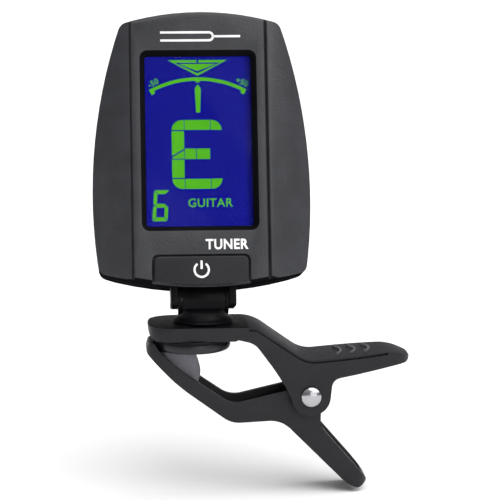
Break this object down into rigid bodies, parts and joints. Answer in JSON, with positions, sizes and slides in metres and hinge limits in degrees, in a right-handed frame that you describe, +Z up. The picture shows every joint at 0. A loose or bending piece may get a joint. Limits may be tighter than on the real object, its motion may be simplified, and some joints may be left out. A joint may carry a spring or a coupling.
{
  "type": "clip-on tuner",
  "caption": "Clip-on instrument tuner: a display head with a power button on a tilting, swivelling foot, held by a sprung clip with rubber pads.",
  "frame": {"origin": "centre of the upper rubber pad's gripping face", "axes": "+Z up from the gripping face to the head, +X along the clip towards the finger tabs, -Y the side the display faces; at rest the head leans back 16 degrees and the jaws are closed"},
  "size_m": [0.0586, 0.027, 0.0881],
  "materials": {
    "charcoal_plastic": "satin injection-moulded ABS with fine grain",
    "black_plastic": "smooth black moulding",
    "pad_rubber": "soft matt silicone rubber",
    "chrome": "bright nickel plate",
    "steel": "plain steel",
    "brass": "thin rolled sheet",
    "window": "clear glossy acrylic",
    "lcd": "blue backlit display with green segments",
    "milky_plastic": "translucent white",
    "circuit_board": "green solder mask",
    "ceramic": "silvered piezo ceramic",
    "red_insulation": "thin wire insulation",
    "black_insulation": "thin wire insulation"
  },
  "bodies": {
    "clip_upper": {"upper_jaw": "charcoal_plastic", "pad_plate": "charcoal_plastic", "upper_pad": "pad_rubber", "pivot_rivet": "chrome", "torsion_spring": "steel"},
    "clip_lower": {"lower_jaw": "charcoal_plastic", "lower_pad": "pad_rubber"},
    "turntable": {"swivel_base": "charcoal_plastic", "retaining_clip": "steel"},
    "head": {"front_shell": "charcoal_plastic", "rear_shell": "charcoal_plastic", "hinge_fork": "black_plastic", "friction_washer_1": "black_plastic", "friction_washer_2": "black_plastic", "hinge_pin": "steel", "window_lens": "window", "lcd_glass": "lcd", "light_guide": "milky_plastic", "lcd_frame": "black_plastic", "contact_strip": "pad_rubber", "backlight_led_1": "milky_plastic", "backlight_led_2": "milky_plastic", "circuit_board": "circuit_board", "board_screw_1": "steel", "board_screw_2": "steel", "tact_switch": "black_plastic", "resin_chip": "black_plastic", "crystal_can": "steel", "coin_cell": "chrome", "contact_minus": "brass", "contact_plus": "brass", "piezo_plate": "brass", "piezo_ceramic": "ceramic", "pickup_lead_red": "red_insulation", "pickup_lead_black": "black_insulation", "shell_screw_1": "steel", "shell_screw_2": "steel", "shell_screw_3": "steel", "shell_screw_4": "steel"},
    "button": {"power_button": "charcoal_plastic", "switch_plunger": "milky_plastic"},
    "door": {"battery_door": "charcoal_plastic"}
  },
  "joints": [
    {"name": "jaw_open", "type": "hinge", "parent": "clip_upper", "child": "clip_lower", "pos_m": [0.0216, 0, -0.0084], "axis": [0, -1, 0], "range_deg": [0, 32], "stiffness_Nm_per_rad": 0.15, "springref_deg": -34.38, "deforming": ["torsion_spring"]},
    {"name": "swivel", "type": "hinge", "parent": "clip_upper", "child": "turntable", "pos_m": [0.0019, 0, 0.005], "axis": [0, 0, 1], "continuous": true},
    {"name": "tilt", "type": "hinge", "parent": "turntable", "child": "head", "pos_m": [0.0019, 0, 0.0093], "axis": [1, 0, 0], "range_deg": [-30, 60]},
    {"name": "button_press", "type": "slide", "parent": "head", "child": "button", "axis": [0, 0.9613, -0.2756], "range_m": [0, 0.0004], "stiffness_N_per_m": 400, "springref_m": -0.0005},
    {"name": "door_slide", "type": "slide", "parent": "head", "child": "door", "axis": [0, 0.2756, 0.9613], "range_m": [0, 0.024]}
  ]
}
